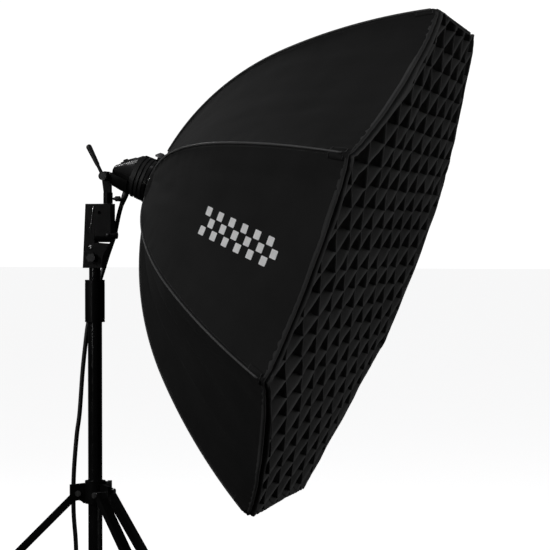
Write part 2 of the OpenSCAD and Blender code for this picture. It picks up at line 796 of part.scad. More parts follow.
module cable_tube() {
    path = smooth(cable_points, cable_smooth);
    rings = [for (i = [0:len(path) - 1]) let (
        t = i == 0 ? [0, sin(head_tilt), -cos(head_tilt)]
            : (i == len(path) - 1 ? [0, 1, 0] : heading(path, i)),
        side = unit(cross(t, [1, -0.6, 0.2])), up = cross(side, t))
        [for (s = [0:cable_sides - 1]) path[i] + cable_r * (cos(360 * s / cable_sides) * side
            + sin(360 * s / cable_sides) * up)]];
    last = len(rings) - 1;
    walls = [for (i = [0:last - 1]) for (s = [0:cable_sides - 1]) let (
        a = i * cable_sides + s, b = i * cable_sides + (s + 1) % cable_sides)
        each [[a, b, b + cable_sides], [a, b + cable_sides, a + cable_sides]]];
    caps = [[for (s = [0:cable_sides - 1]) cable_sides - 1 - s],
        [for (s = [0:cable_sides - 1]) last * cable_sides + s]];
    color("#0c0c0d") polyhedron([for (r = rings) each r], concat(walls, caps), convexity = 8);
}

module cable_coil() {
    color("#0c0c0d") translate([coil_centre[0], coil_centre[1], 0]) rotate_extrude()
        translate([coil_mid_r - coil_half, 0]) square([2 * coil_half, coil_height]);
}

module cable_tie() {
    color("#2a2a2c") translate([coil_centre[0] + coil_mid_r, coil_centre[1], 0]) difference() {
        translate([-tie_half - tie_t, -tie_w / 2, 0]) cube([2 * (tie_half + tie_t), tie_w, coil_height + 2]);
        translate([-tie_half, -tie_w / 2 - 1, -1]) cube([2 * tie_half, tie_w + 2, coil_height + 1 + gap]);
    }
}

// Round connector at the far end, lying on the floor beside the coil
module cable_plug() {
    color("#101011") translate([coil_centre[0] + plug_from, coil_centre[1] + coil_outer_r, plug_r]) union() {
        translate([-plug_tail, 0, 0]) bar_x(cable_r, plug_tail);
        rotate([0, 90, 0]) cylinder(r1 = cable_r + 1, r2 = plug_r - 4, h = 26, $fn = 48);
        translate([26, 0, 0]) bar_x(plug_r - 2, 46);
        translate([72, 0, 0]) bar_x(plug_r, 24);
    }
}

column_tube();
column_collar();
collar_screw();
collar_knob();
base_collar();
base_plug();
riser_tube();
spigot();
leg_collar();
leg_bolts();
leg_collar_screw();
leg_collar_knob();
leg(0);  // leg_1
leg(1);  // leg_2
leg(2);  // leg_3
foot(0);  // foot_1
foot(1);  // foot_2
foot(2);  // foot_3
brace(0);  // brace_1
brace(1);  // brace_2
brace(2);  // brace_3
brace_pins();
swivel_lower();
spigot_knob();
swivel_upper();
top_stud();
swivel_bolt();
swivel_lever();
tilt_socket();
socket_knob();
tilt_bolt();
tilt_lever();
lever_grip();
head_keel();
head_shell();
head_barrel();
grip_ring();
clamp_knob();
control_panel();
power_switch();
dimmer_dial();
glass_dome();
flash_tube();
modelling_lamp();
lamp_socket();
cable_gland();
adapter_ring();
speedring();
rod_ferrules();
rods();
outer_shell();
rear_cuff();
rim_binding();
inner_baffle();
front_diffuser();
softgrid();
cable_tube();
cable_coil();
cable_tie();
cable_plug();
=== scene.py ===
import json
import math

import bpy
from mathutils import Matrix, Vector, noise


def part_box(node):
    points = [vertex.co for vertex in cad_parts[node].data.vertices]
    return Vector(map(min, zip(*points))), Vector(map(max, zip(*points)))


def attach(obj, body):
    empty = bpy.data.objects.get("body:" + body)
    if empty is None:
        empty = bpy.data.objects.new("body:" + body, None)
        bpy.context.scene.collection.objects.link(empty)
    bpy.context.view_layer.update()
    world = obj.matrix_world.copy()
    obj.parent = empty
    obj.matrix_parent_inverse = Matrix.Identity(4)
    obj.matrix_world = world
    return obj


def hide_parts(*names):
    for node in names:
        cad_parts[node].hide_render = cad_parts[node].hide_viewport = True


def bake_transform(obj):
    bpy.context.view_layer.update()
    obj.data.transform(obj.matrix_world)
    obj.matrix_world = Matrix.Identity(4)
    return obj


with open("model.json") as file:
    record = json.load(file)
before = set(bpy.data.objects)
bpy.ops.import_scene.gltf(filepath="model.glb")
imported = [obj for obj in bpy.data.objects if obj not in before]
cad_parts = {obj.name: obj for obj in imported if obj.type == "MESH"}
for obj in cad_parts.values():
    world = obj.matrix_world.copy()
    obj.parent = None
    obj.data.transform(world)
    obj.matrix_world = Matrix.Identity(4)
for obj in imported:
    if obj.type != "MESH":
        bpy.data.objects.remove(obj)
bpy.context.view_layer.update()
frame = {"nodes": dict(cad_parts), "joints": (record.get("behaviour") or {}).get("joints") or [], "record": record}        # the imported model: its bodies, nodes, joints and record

NODES = frame["nodes"]
JOINTS = {joint["name"]: joint for joint in frame["joints"]}
TAU = 2 * math.pi

# ---- the head's own frame: x to the side, y up, z along the axis to the front ----

RING = Vector(JOINTS["softbox_turn"]["pos_m"])
AXIS = Vector(JOINTS["softbox_turn"]["axis"]).normalized()
SIDE = Vector((1, 0, 0))
RISE = AXIS.cross(SIDE)


def head_point(x, y, z):
    return RING + x * SIDE + y * RISE + z * AXIS


# ---- softbox sizes, metres ----

CORNERS = 8
STEP = TAU / CORNERS
FIRST_CORNER = math.pi / 2 + STEP / 2
WIDTH = 1.2
DEPTH = 0.541
CORNER_R = WIDTH / 2 / math.cos(STEP / 2)
REAR_BEND = math.radians(34)           # a rod's arc is tight at the rear and flat at the front
FRONT_BEND = math.radians(15)
REAR_SHARE = 0.535
ROD_R = 0.0025
ROD_START = Vector((0.062, 0.0))
ROD_END = Vector((CORNER_R - 0.004, DEPTH - 0.006))
FABRIC = 0.0012
OUTSIDE = ROD_R + 0.001 + FABRIC       # from a rod's axis to the fabric's outer face
SHELL_FROM = 0.024                     # share of the rod's arc where the fabric begins
RECESS = 0.046                         # how far the front diffuser sits behind the front edge
BAFFLE_Z = 0.281
BAFFLE_R = 0.4

REAR_UNIT = REAR_SHARE / REAR_BEND
FRONT_UNIT = (1 - REAR_SHARE) / FRONT_BEND
BEND = REAR_BEND + FRONT_BEND
UNIT_END = Vector((REAR_UNIT * math.sin(REAR_BEND) + FRONT_UNIT * (math.sin(BEND) - math.sin(REAR_BEND)),
                   REAR_UNIT * (1 - math.cos(REAR_BEND))
                   + FRONT_UNIT * (math.cos(REAR_BEND) - math.cos(BEND))))
CHORD = ROD_END - ROD_START
ARC = CHORD.length / UNIT_END.length   # length of a rod along its bow
BOW_FIRST = math.atan2(CHORD.y, CHORD.x) - math.atan2(UNIT_END.y, UNIT_END.x) - math.pi / 2
BOW_MIDDLE = BOW_FIRST + REAR_BEND


# ---- meshes ----

def smoothstep(x):
    x = min(max(x, 0.0), 1.0)
    return x * x * (3 - 2 * x)


def new_object(name, verts, faces, material, smooth=True):
    mesh = bpy.data.meshes.new(name)
    mesh.from_pydata([tuple(v) for v in verts], [], faces)
    if smooth:
        mesh.polygons.foreach_set("use_smooth", [True] * len(mesh.polygons))
    mesh.update()
    piece = bpy.data.objects.new(name, mesh)
    bpy.context.scene.collection.objects.link(piece)
    mesh.materials.append(material)
    return piece


def thicken(verts, faces, thickness):
    """Gives an open sheet of faces a second side at the given depth, and closes its edges."""
    mesh = bpy.data.meshes.new("sheet")
    mesh.from_pydata([tuple(v) for v in verts], [], faces)
    mesh.update()
    count = len(verts)
    under = [Vector(v) - thickness * m.normal for v, m in zip(verts, mesh.vertices)]
    bpy.data.meshes.remove(mesh)
    edges = {(face[i - 1], face[i]) for face in faces for i in range(len(face))}
    border = [(a, b) for a, b in edges if (b, a) not in edges]
    flipped = [tuple(i + count for i in reversed(face)) for face in faces]
    sides = [(b, a, a + count, b + count) for a, b in sorted(border)]
    return list(verts) + under, list(faces) + flipped + sides


def grid_faces(rows, columns, closed=False):
    """Faces of a grid of rows by columns of points; closed joins the last column to the first."""
    wrap = columns if closed else columns - 1
    faces = []
    for i in range(rows - 1):
        for j in range(wrap):
            a = i * columns + j
            b = i * columns + (j + 1) % columns
            faces.append((a, b, b + columns, a + columns))
    return faces


def flip(faces):
    return [tuple(reversed(face)) for face in faces]


def frames_along(path, closed):
    """A side and an up direction at each point of a path, carried along it without twist."""
    count = len(path)
    tangents = []
    for i in range(count):
        if closed:
            step = path[(i + 1) % count] - path[i - 1]
        else:
            step = path[min(i + 1, count - 1)] - path[max(i - 1, 0)]
        tangents.append(step.normalized())
    guide = Vector((0, 0, 1)) if abs(tangents[0].z) < 0.9 else Vector((0, 1, 0))
    side = tangents[0].cross(guide).normalized()
    frames = []
    for tangent in tangents:
        side = (side - side.dot(tangent) * tangent).normalized()
        frames.append((side, side.cross(tangent).normalized()))
    return frames


def sweep(path, outline, closed, first, frames):
    """Points and faces of a closed outline carried along a path, with end caps if it is open.

    Faces count their points from first. Without frames, the outline follows the path untwisted.
    """
    frames = frames or frames_along(path, closed)
    verts = []
    for point, (side, up) in zip(path, frames):
        verts += [point + x * side + y * up for x, y in outline]
    size = len(outline)
    count = len(path)
    faces = []
    for i in range(count if closed else count - 1):
        for j in range(size):
            a = first + i * size + j
            b = first + i * size + (j + 1) % size
            c = first + (i + 1) % count * size + (j + 1) % size
            d = first + (i + 1) % count * size + j
            faces.append((a, b, c, d))
    if not closed:
        faces.append(tuple(first + j for j in reversed(range(size))))
        faces.append(tuple(first + (count - 1) * size + j for j in range(size)))
    return verts, faces


def round_outline(radius, sides):
    return [(radius * math.cos(TAU * i / sides), radius * math.sin(TAU * i / sides)) for i in range(sides)]


def join_sweeps(name, sweeps, material, smooth=True):
    """One object from several swept solids, each given as (path, outline, closed, frames)."""
    verts, faces = [], []
    for path, outline, closed, frames in sweeps:
        more, more_faces = sweep(path, outline, closed, len(verts), frames)
        verts += more
        faces += more_faces
    return new_object(name, verts, faces, material, smooth)


def catmull(points, steps):
    """A smooth curve through the points, with so many steps between each two."""
    curve = []
    last = len(points) - 1
    for i in range(last):
        a, b, c, d = (points[min(max(j, 0), last)] for j in (i - 1, i, i + 1, i + 2))
        for j in range(steps):
            t = j / steps
            curve.append(0.5 * (2 * b + (c - a) * t + (2 * a - 5 * b + 4 * c - d) * t * t
                                + (3 * b - a - 3 * c + d) * t * t * t))
    curve.append(points[last])
    return curve


# ---- materials ----

class Shader:
    """A Principled material with a few short ways to add procedural detail."""

    def __init__(self, name, color, roughness, metallic=0.0, **sockets):
        self.material = bpy.data.materials.new(name)
        self.material.use_nodes = True
        self.tree = self.material.node_tree
        self.bsdf = self.tree.nodes["Principled BSDF"]
        self.set("Base Color", (*color, 1))
        self.set("Roughness", roughness)
        self.set("Metallic", metallic)
        for key, value in sockets.items():
            self.set(key.replace("_", " "), value)
        self.material.diffuse_color = (*color, 1)
        self.coords = self.add("ShaderNodeTexCoord").outputs["Object"]
        self.height = None

    def set(self, socket, value):
        self.bsdf.inputs[socket].default_value = value

    def add(self, kind, links=None, **values):
        node = self.tree.nodes.new(kind)
        for key, value in values.items():
            if hasattr(node, key):
                setattr(node, key, value)
            else:
                node.inputs[key.replace("_", " ")].default_value = value
        for socket, source in (links or {}).items():
            self.tree.links.new(source, node.inputs[socket])
        return node

    def noise(self, scale, detail=3.0, stretch=(1, 1, 1)):
        place = self.add("ShaderNodeMapping", {"Vector": self.coords}, Scale=stretch)
        node = self.add("ShaderNodeTexNoise", {"Vector": place.outputs[0]}, Scale=scale, Detail=detail)
        return node.outputs["Fac"]

    def wave(self, scale, direction, distortion=0.0):
        node = self.add("ShaderNodeTexWave", {"Vector": self.coords}, Scale=scale, Distortion=distortion)
        node.bands_direction = direction
        return node.outputs["Fac"]

    def math(self, operation, a, b):
        node = self.add("ShaderNodeMath")
        node.operation = operation
        for i, value in enumerate((a, b)):
            if isinstance(value, (int, float)):
                node.inputs[i].default_value = value
            else:
                self.tree.links.new(value, node.inputs[i])
        return node.outputs[0]

    def ramp(self, factor, low, high, start=0.3, end=0.7):
        node = self.add("ShaderNodeValToRGB", {"Fac": factor})
        node.color_ramp.elements[0].position = start
        node.color_ramp.elements[0].color = (*low, 1)
        node.color_ramp.elements[1].position = end
        node.color_ramp.elements[1].color = (*high, 1)
        return node.outputs["Color"]

    def mottle(self, low, high, scale, detail=4.0, start=0.3, end=0.7, stretch=(1, 1, 1)):
        """Colour that wanders between two tones."""
        color = self.ramp(self.noise(scale, detail, stretch), low, high, start, end)
        self.tree.links.new(color, self.bsdf.inputs["Base Color"])
        return self

    def vary_roughness(self, low, high, scale, stretch=(1, 1, 1)):
        node = self.add("ShaderNodeMapRange", {"Value": self.noise(scale, 3.0, stretch)},
                        From_Min=0.3, From_Max=0.7, To_Min=low, To_Max=high)
        self.tree.links.new(node.outputs["Result"], self.bsdf.inputs["Roughness"])
        return self

    def bump(self, height, distance, strength=1.0):
        links = {"Height": height}
        if self.height is not None:
            links["Normal"] = self.height
        node = self.add("ShaderNodeBump", links, Distance=distance, Strength=strength)
        self.height = node.outputs["Normal"]
        self.tree.links.new(self.height, self.bsdf.inputs["Normal"])
        return self

    def weave(self, period, depth, distortion=0.3):
        """Crossed threads: bands along each axis, the higher one on top."""
        scale = TAU / (20 * period)
        threads = self.math("MAXIMUM", self.wave(scale, "X", distortion), self.wave(scale, "Z", distortion))
        threads = self.math("MAXIMUM", threads, self.wave(scale, "Y", distortion))
        return self.bump(threads, depth, 0.6)

    def grain(self, scale, depth, strength=0.5):
        return self.bump(self.noise(scale, 2.0), depth, strength)


def tone(value, tint=(1, 1, 1)):
    return tuple(value * t for t in tint)


def fabric(name, low, high, period=0.0011, depth=0.00012, roughness=0.8, sheen=0.02, tint=(1, 1, 1)):
    made = Shader(name, tone((low + high) / 2, tint), roughness, Sheen_Weight=sheen, Sheen_Roughness=0.45)
    made.set("Specular IOR Level", 0.12)
    made.mottle(tone(low, tint), tone(high, tint), 9.0, 6.0)
    made.weave(period, depth)
    made.grain(60.0, 0.0006, 0.35)
    return made


def painted_metal(name, value, roughness, grain_scale, grain_depth, coat, specular):
    made = Shader(name, tone(value), roughness, 0.0, Coat_Weight=coat, Coat_Roughness=0.12)
    made.set("Specular IOR Level", specular)
    made.mottle(tone(value * 0.8), tone(value * 1.3), 40.0)
    made.vary_roughness(roughness - 0.06, roughness + 0.1, 25.0)
    made.grain(grain_scale, grain_depth)
    return made


def bare_metal(name, value, roughness, stretch):
    made = Shader(name, tone(value), roughness, 1.0)
    made.mottle(tone(value * 0.88), tone(min(value * 1.08, 0.9)), 120.0, 5.0, stretch=stretch)
    made.vary_roughness(roughness - 0.05, roughness + 0.12, 300.0, stretch)
    made.grain(900.0, 0.00002, 0.4)
    return made


def plastic(name, value, roughness, tint=(1, 1, 1.03), grain_scale=1400.0):
    made = Shader(name, tone(value, tint), roughness)
    made.mottle(tone(value * 0.85, tint), tone(value * 1.2, tint), 60.0)
    made.vary_roughness(roughness - 0.05, roughness + 0.08, 80.0)
    made.grain(grain_scale, 0.00004, 0.4)
    return made


def glass(name, color, alpha):
    roughness = 0.03
    made = Shader(name, color, roughness, Transmission_Weight=0.9, IOR=1.46)
    made.set("Alpha", alpha)
    made.vary_roughness(roughness, roughness + 0.05, 30.0)
    return made


SHADERS = {
    "black_metal": painted_metal("black_metal", 0.0025, 0.2, 900.0, 0.00002, 0.8, 0.3),
    "cast_black": painted_metal("cast_black", 0.003, 0.38, 1300.0, 0.00006, 0.1, 0.12),
    "steel": bare_metal("steel", 0.42, 0.3, (1, 1, 0.1)),
    "stud_metal": bare_metal("stud_metal", 0.5, 0.25, (0.15, 0.15, 1)),
    "knob_plastic": plastic("knob_plastic", 0.005, 0.42),
    "rubber": plastic("rubber", 0.005, 0.5, grain_scale=2200.0),
    "cable": plastic("cable", 0.004, 0.5, grain_scale=700.0),
    "tie_strap": fabric("tie_strap", 0.016, 0.032, 0.0015, 0.0003),
    "clamp_plastic": plastic("clamp_plastic", 0.1, 0.4),
    "switch_plastic": plastic("switch_plastic", 0.62, 0.25, (1, 1, 0.96)),
    "clear_glass": glass("clear_glass", (0.9, 0.93, 0.94), 0.35),
    "flash_glass": glass("flash_glass", (0.92, 0.93, 0.93), 0.6),
    "lamp_glass": glass("lamp_glass", (0.95, 0.9, 0.76), 0.7),
    "ceramic": plastic("ceramic", 0.7, 0.35, (1, 0.97, 0.9)),
    "ring_aluminium": bare_metal("ring_aluminium", 0.55, 0.28, (1, 1, 1)),
    "black_fabric": fabric("black_fabric", 0.0100, 0.0138),
    # the seam piping is real, but its grey tone (0.06 to 0.085 against the panels' 0.010 to 0.014) is a
    # painted highlight: it stands in for the light line the round piping catches along each seam
    "seam_piping": fabric("seam_piping", 0.06, 0.085, 0.0012, 0.0001, 0.4, 0.08),
    "binding_tape": fabric("binding_tape", 0.024, 0.036, 0.0016, 0.0002, 0.7),
    "diffuser_fabric": fabric("diffuser_fabric", 0.74, 0.82, 0.0008, 0.00006, 0.75, 0.1, (1, 1, 0.985)),
    "grid_fabric": fabric("grid_fabric", 0.034, 0.046, 0.0014, 0.00015, 0.65, 0.04),
}
SILVER = Shader("silver_lining", tone(0.6), 0.32, 0.9)
SILVER.mottle(tone(0.5), tone(0.66), 14.0)
SILVER.grain(500.0, 0.0002, 0.5)
PRINT = Shader("white_print", tone(0.88), 0.5)
PRINT.mottle(tone(0.84), tone(0.92), 80.0)
PRINT.grain(1500.0, 0.00003)
POLISHED = bare_metal("polished_steel", 0.75, 0.12, (1, 1, 0.1))
THREAD = fabric("sewing_thread", 0.03, 0.07, 0.0007, 0.0001, 0.6)


def finish_piece(piece, body):
    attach(piece, body)
    return piece


# ---- camera, floor and light ----

def make_camera():
    data = bpy.data.cameras.new("camera")
    data.sensor_width = 36.0
    data.lens = 123.55
    camera = bpy.data.objects.new("camera", data)
    camera.location = (-4.328, -1.532, 1.14)
    camera.rotation_euler = (math.radians(88.794), 0, math.radians(-75.96))
    bpy.context.scene.collection.objects.link(camera)
    bpy.context.scene.camera = camera


def make_floor():
    """A white sweep that the object stands on; it takes shadows but throws no light back up."""
    half = 60.0
    corners = [(-half, -half, 0), (half, -half, 0), (half, half, 0), (-half, half, 0)]
    paper = Shader("paper", (0.8, 0.8, 0.8), 0.9)
    paper.mottle((0.79, 0.79, 0.79), (0.81, 0.81, 0.81), 3.0)
    paper.set("Emission Color", (1, 1, 1, 1))
    paper.set("Emission Strength", 0.86)
    floor = new_object("floor", corners, [(0, 1, 2, 3)], paper.material, False)
    floor.location.z = -0.0005
    floor.visible_diffuse = False
    floor.visible_glossy = False


def make_world():
    """White behind everything; the light it sheds on the object is dim and comes from above."""
    world = bpy.data.worlds.new("studio")
    bpy.context.scene.world = world
    world.use_nodes = True
    tree = world.node_tree
    shade = tree.nodes["Background"]
    seen = tree.nodes.new("ShaderNodeBackground")
    seen.inputs["Color"].default_value = (1, 1, 1, 1)
    seen.inputs["Strength"].default_value = 1.05
    coords = tree.nodes.new("ShaderNodeTexCoord")
    split = tree.nodes.new("ShaderNodeSeparateXYZ")
    ramp = tree.nodes.new("ShaderNodeValToRGB")
    ramp.color_ramp.elements[0].position = 0.05
    ramp.color_ramp.elements[0].color = (0.012, 0.012, 0.012, 1)
    ramp.color_ramp.elements[1].position = 0.9
    ramp.color_ramp.elements[1].color = (0.12, 0.12, 0.125, 1)
    path = tree.nodes.new("ShaderNodeLightPath")
    mix = tree.nodes.new("ShaderNodeMixShader")
    tree.links.new(coords.outputs["Generated"], split.inputs[0])
    tree.links.new(split.outputs["Z"], ramp.inputs["Fac"])
    tree.links.new(ramp.outputs["Color"], shade.inputs["Color"])
    tree.links.new(path.outputs["Is Camera Ray"], mix.inputs[0])
    tree.links.new(shade.outputs[0], mix.inputs[1])
    tree.links.new(seen.outputs[0], mix.inputs[2])
    tree.links.new(mix.outputs[0], tree.nodes["World Output"].inputs["Surface"])


def make_light(name, energy, place, target, size, size_y):
    data = bpy.data.lights.new(name, "AREA")
    data.energy = energy
    data.shape = "RECTANGLE"
    data.size = size
    data.size_y = size_y
    light = bpy.data.objects.new(name, data)
    light.location = place
    aim = Vector(target) - Vector(place)
    light.rotation_euler = aim.to_track_quat("-Z", "Y").to_euler()
    bpy.context.scene.collection.objects.link(light)


def make_lights():
    middle = (0.0, -0.4, 1.1)
    make_light("rear_key", 50.0, (-2.3, 2.5, 2.6), middle, 0.7, 0.7)
    make_light("head_spot", 7.0, (-1.1, 1.5, 3.6), (0, -0.1, 1.25), 0.32, 0.32)
    make_light("far_spot", 12.0, (1.7, 1.9, 3.1), (0, -0.1, 1.25), 0.32, 0.32)
    make_light("top_bank", 3.0, (-0.9, -0.9, 4.4), middle, 1.2, 1.2)
    make_light("side_strip", 4.0, (-2.9, 1.3, 1.5), (0, 0, 1.2), 0.12, 1.6)
    make_light("front_bank", 88.0, (-1.45, -4.57, 1.64), (0, -0.7, 1.0), 2.6, 2.6)


# ---- the softbox's surface ----

def direction(angle):
    return Vector((math.cos(angle), math.sin(angle)))


def arc(t):
    """A rod's axis at share t of its length, and its outward normal: each as (radius, along the axis)."""
    rear = ARC * REAR_UNIT
    centre = ROD_START - rear * direction(BOW_FIRST)
    if t < REAR_SHARE:
        normal = direction(BOW_FIRST + REAR_BEND * t / REAR_SHARE)
        return centre + rear * normal, normal
    front = ARC * FRONT_UNIT
    normal = direction(BOW_MIDDLE + FRONT_BEND * (t - REAR_SHARE) / (1 - REAR_SHARE))
    return centre + (rear - front) * direction(BOW_MIDDLE) + front * normal, normal


def corner_angle(k):
    return FIRST_CORNER + k * STEP


# long soft folds: panel, where they start and end across it and along it, width and depth
FOLDS = [
    (0, 0.35, 0.55, 0.15, 0.95, 0.10, 0.0035), (0, 0.72, 0.62, 0.35, 1.00, 0.06, 0.0025),
    (0, 0.18, 0.30, 0.45, 1.05, 0.05, -0.0020), (1, 0.20, 0.12, 0.40, 1.05, 0.05, 0.0030),
    (1, 0.80, 0.90, 0.45, 1.05, 0.05, 0.0028), (1, 0.40, 0.45, 0.05, 0.50, 0.12, 0.0020),
    (2, 0.28, 0.50, 0.10, 0.98, 0.055, 0.0085), (2, 0.45, 0.66, 0.20, 1.05, 0.05, -0.0060),
    (2, 0.15, 0.22, 0.50, 1.05, 0.04, 0.0040), (3, 0.40, 0.55, 0.10, 0.90, 0.08, 0.0050),
    (3, 0.75, 0.60, 0.30, 1.00, 0.06, -0.0035), (4, 0.35, 0.30, 0.15, 0.95, 0.07, 0.0040),
    (4, 0.62, 0.72, 0.35, 1.05, 0.06, 0.0035), (5, 0.30, 0.42, 0.20, 1.00, 0.08, 0.0035),
    (5, 0.70, 0.66, 0.40, 1.05, 0.05, -0.0025), (6, 0.38, 0.30, 0.20, 0.95, 0.07, 0.0030),
    (6, 0.66, 0.78, 0.40, 1.05, 0.05, 0.0030), (7, 0.45, 0.55, 0.15, 0.90, 0.09, 0.0030),
    (7, 0.22, 0.15, 0.45, 1.05, 0.05, 0.0025),
]
SAG = 0.013                            # how far a panel's middle is drawn in between its rods
EDGE_SAG = 0.004                       # the same along the front edge
# how far each front edge bows forward
FRONT_BOWS = (0.019, 0.011, 0.012, 0.003, 0.002, 0.013, 0.006, 0.008)
BROAD_WAVES = 0.0035                   # height of the wide, slow unevenness of a panel
FINE_WAVES = 0.0012                    # and of the narrow unevenness on top of it
CORNER_CREASES = 0.0022                # height of the creases that run out of a front corner
PUCKER = 0.0011                        # height of the small ripples along a seam
PUCKER_PERIOD = 0.045
PUCKER_REACH = 0.02


def panel_depth(k, a, t, width):
    """How far the fabric of panel k lies inside the flat chord between its two rods."""
    middle = 4 * a * (1 - a)
    inner = smoothstep(middle / 0.35)
    sag = SAG * math.sin(math.pi * min(t, 1.0)) ** 0.8 + EDGE_SAG * smoothstep(t * 2 - 1)
    depth = middle ** 0.85 * sag
    for panel, a0, a1, t0, t1, spread, height in FOLDS:
        share = (t - t0) / (t1 - t0)
        if panel == k and 0 < share < 1:
            place = (a - a0 - (a1 - a0) * share) / spread
            depth += inner * height * math.sin(math.pi * share) * math.exp(-place * place)
    free = inner * smoothstep(t / 0.12) * smoothstep((1.02 - t) / 0.08)
    depth += BROAD_WAVES * free * noise.noise(Vector((a * 2.4 + k * 7.1, t * 3.0, 3.3)))
    depth += FINE_WAVES * free * noise.noise(Vector((a * 8.0 + k * 3.7, t * 11.0, 1.9)))
    near = min(a, 1 - a) * width
    ripple = math.sin(TAU * t * ARC / PUCKER_PERIOD + 2.1 * k)
    ripple *= 0.6 + noise.noise(Vector((t * 13, k, a * 2)))
    depth += PUCKER * ripple * math.exp(-near / PUCKER_REACH) * smoothstep(near / 0.004)
    corner = smoothstep((t - 0.82) / 0.18) * math.exp(-near / 0.07) * smoothstep(near / 0.01)
    depth += CORNER_CREASES * corner * math.sin(near * 210 + (1 - t) * 46 + k)
    return depth


def bow_share(a):
    """How much of its forward bow a front edge has at share a across its panel."""
    return max(4 * a * (1 - a), 0.0) ** 0.6


def skin(k, a, t, lift=0.0):
    """A point on the fabric's outer face: panel k, share a across it, share t along its rods."""
    centre, normal = arc(t)
    r = centre.x + (OUTSIDE + lift) * normal.x
    z = centre.y + (OUTSIDE + lift) * normal.y
    first, second = corner_angle(k), corner_angle(k + 1)
    x = r * ((1 - a) * math.cos(first) + a * math.cos(second))
    y = r * ((1 - a) * math.sin(first) + a * math.sin(second))
    depth = panel_depth(k, a, t, 2 * r * math.sin(STEP / 2))
    middle = (first + second) / 2
    x -= depth * normal.x * math.cos(middle)
    y -= depth * normal.x * math.sin(middle)
    z -= depth * normal.y
    rise = max(0.0, (t - 0.3) / 0.7) ** 2
    z += FRONT_BOWS[k % CORNERS] * bow_share(a) * rise
    return head_point(x, y, z)


def beside_seam(k, distance, t, lift):
    """A point on the fabric at a distance from corner k's seam, on either side of it."""
    radius = arc(t)[0].x
    a = abs(distance) / (2 * radius * math.sin(STEP / 2))
    if distance < 0:
        return skin(k - 1, 1 - a, t, lift)
    return skin(k, a, t, lift)


def make_shell():
    rows, across = 112, 40
    verts = []
    for i in range(rows + 1):
        t = SHELL_FROM + (1 - SHELL_FROM) * i / rows
        verts += [skin(k, j / across, t) for k in range(CORNERS) for j in range(across)]
    faces = grid_faces(rows + 1, CORNERS * across, True)
    outer = len(faces)
    verts, faces = thicken(verts, faces, FABRIC)
    shell = new_object("shell_fabric", verts, faces, SHADERS["black_fabric"].material)
    shell.data.materials.append(SILVER.material)
    lip = DEPTH - RECESS
    for polygon in shell.data.polygons[outer:2 * outer]:
        if (polygon.center - RING).dot(AXIS) < lip:
            polygon.material_index = 1
    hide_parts("outer_shell")
    return finish_piece(shell, "softbox")


def make_piping():
    """Round piping sewn into each seam over its rod."""
    steps = 90
    sweeps = []
    for k in range(CORNERS):
        path = [skin(k, 0, 0.035 + 0.945 * i / steps, 0.0009) for i in range(steps + 1)]
        sweeps.append((path, round_outline(0.0025, 10), False, None))
    # the piping's lighter tone is a painted highlight along the seams, not a lighter piping colour
    piping = join_sweeps("seam_piping", sweeps, SHADERS["seam_piping"].material)
    return finish_piece(piping, "softbox")


def make_seam_stitching():
    """A row of short stitches on each side of every seam."""
    pitch, length, half, offset = 0.0065, 0.0042, 0.00035, 0.0065
    sweeps = []
    count = int(ARC * 0.93 / pitch)
    for k in range(CORNERS):
        for side in (-offset, offset):
            for i in range(count):
                t = 0.045 + i * pitch / ARC
                path = [beside_seam(k, side, t + share * length / ARC, lift)
                        for share, lift in ((0, 0), (0.5, 0.0004), (1, 0))]
                sweeps.append((path, round_outline(half, 5), False, None))
    stitches = join_sweeps("seam_stitching", sweeps, THREAD.material, False)
    return finish_piece(stitches, "softbox")


def make_pockets():
    """A folded patch over the end of each rod's sleeve, with its bartacks."""
    start, end, half = 0.935, 0.992, 0.016
    rows, columns = 10, 12
    verts, faces, sweeps = [], [], []
    for k in range(CORNERS):
        patch = []
        for i in range(rows + 1):
            t = start + (end - start) * i / rows
            for j in range(columns + 1):
                distance = half * (2 * j / columns - 1)
                edge = 1 - max(abs(distance) / half, abs(2 * i / rows - 1)) ** 6
                patch.append(beside_seam(k, distance, t, 0.0008 + 0.0014 * edge))
        more, more_faces = thicken(patch, grid_faces(rows + 1, columns + 1), 0.0008)
        faces += [tuple(i + len(verts) for i in face) for face in more_faces]
        verts += more
        for t in (start + 0.006, end - 0.006):
            for side in (-1, 1):
                path = [beside_seam(k, side * (0.003 + 0.0022 * j), t, 0.0026) for j in range(6)]
                sweeps.append((path, round_outline(0.0007, 6), False, None))
    patches = new_object("rod_pockets", verts, faces, SHADERS["black_fabric"].material)
    tacks = join_sweeps("pocket_bartacks", sweeps, THREAD.material)
    return [finish_piece(patches, "softbox"), finish_piece(tacks, "softbox")]


def front_edge(k, a, inset, along):
    """A point on the front edge of panel k, moved inwards and along the axis."""
    point = skin(k, a, 1.0)
    inward = RING + AXIS * (point - RING).dot(AXIS) - point
    return point + inset * inward.normalized() + along * AXIS


def make_binding():
    """Tape folded over the front edge, with rounded corners and a slight waviness."""
    across = 36
    path = []
    for k in range(CORNERS):
        for j in range(across):
            a = j / across
            wave = 0.0007 * noise.noise(Vector((a * 9 + k * 5, 0.7, 2.2)))
            corner = 0.003 * math.exp(-min(a, 1 - a) * across / 1.2)
            path.append(front_edge(k, a, 0.0012 + corner, 0.0004 + wave))
    outline = [(-0.0016, -0.0052), (-0.0024, -0.0030), (-0.0024, 0.0006), (-0.0012, 0.0020),
               (0.0006, 0.0020), (0.0018, 0.0006), (0.0020, -0.0040), (0.0016, -0.0110),
               (0.0008, -0.0112), (-0.0008, -0.0054)]
    frames = []
    for i, point in enumerate(path):
        along = path[(i + 1) % len(path)] - path[i - 1]
        out = (point - RING - AXIS * (point - RING).dot(AXIS)).normalized()
        flare = (out * -1 + AXIS * 0.35).normalized()
        side = (flare - flare.dot(along.normalized()) * along.normalized()).normalized()
        frames.append((side, (AXIS - AXIS.dot(side) * side).normalized()))
    binding = join_sweeps("edge_binding", [(path, outline, True, frames)], SHADERS["binding_tape"].material)
    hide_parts("rim_binding")
    return finish_piece(binding, "softbox")


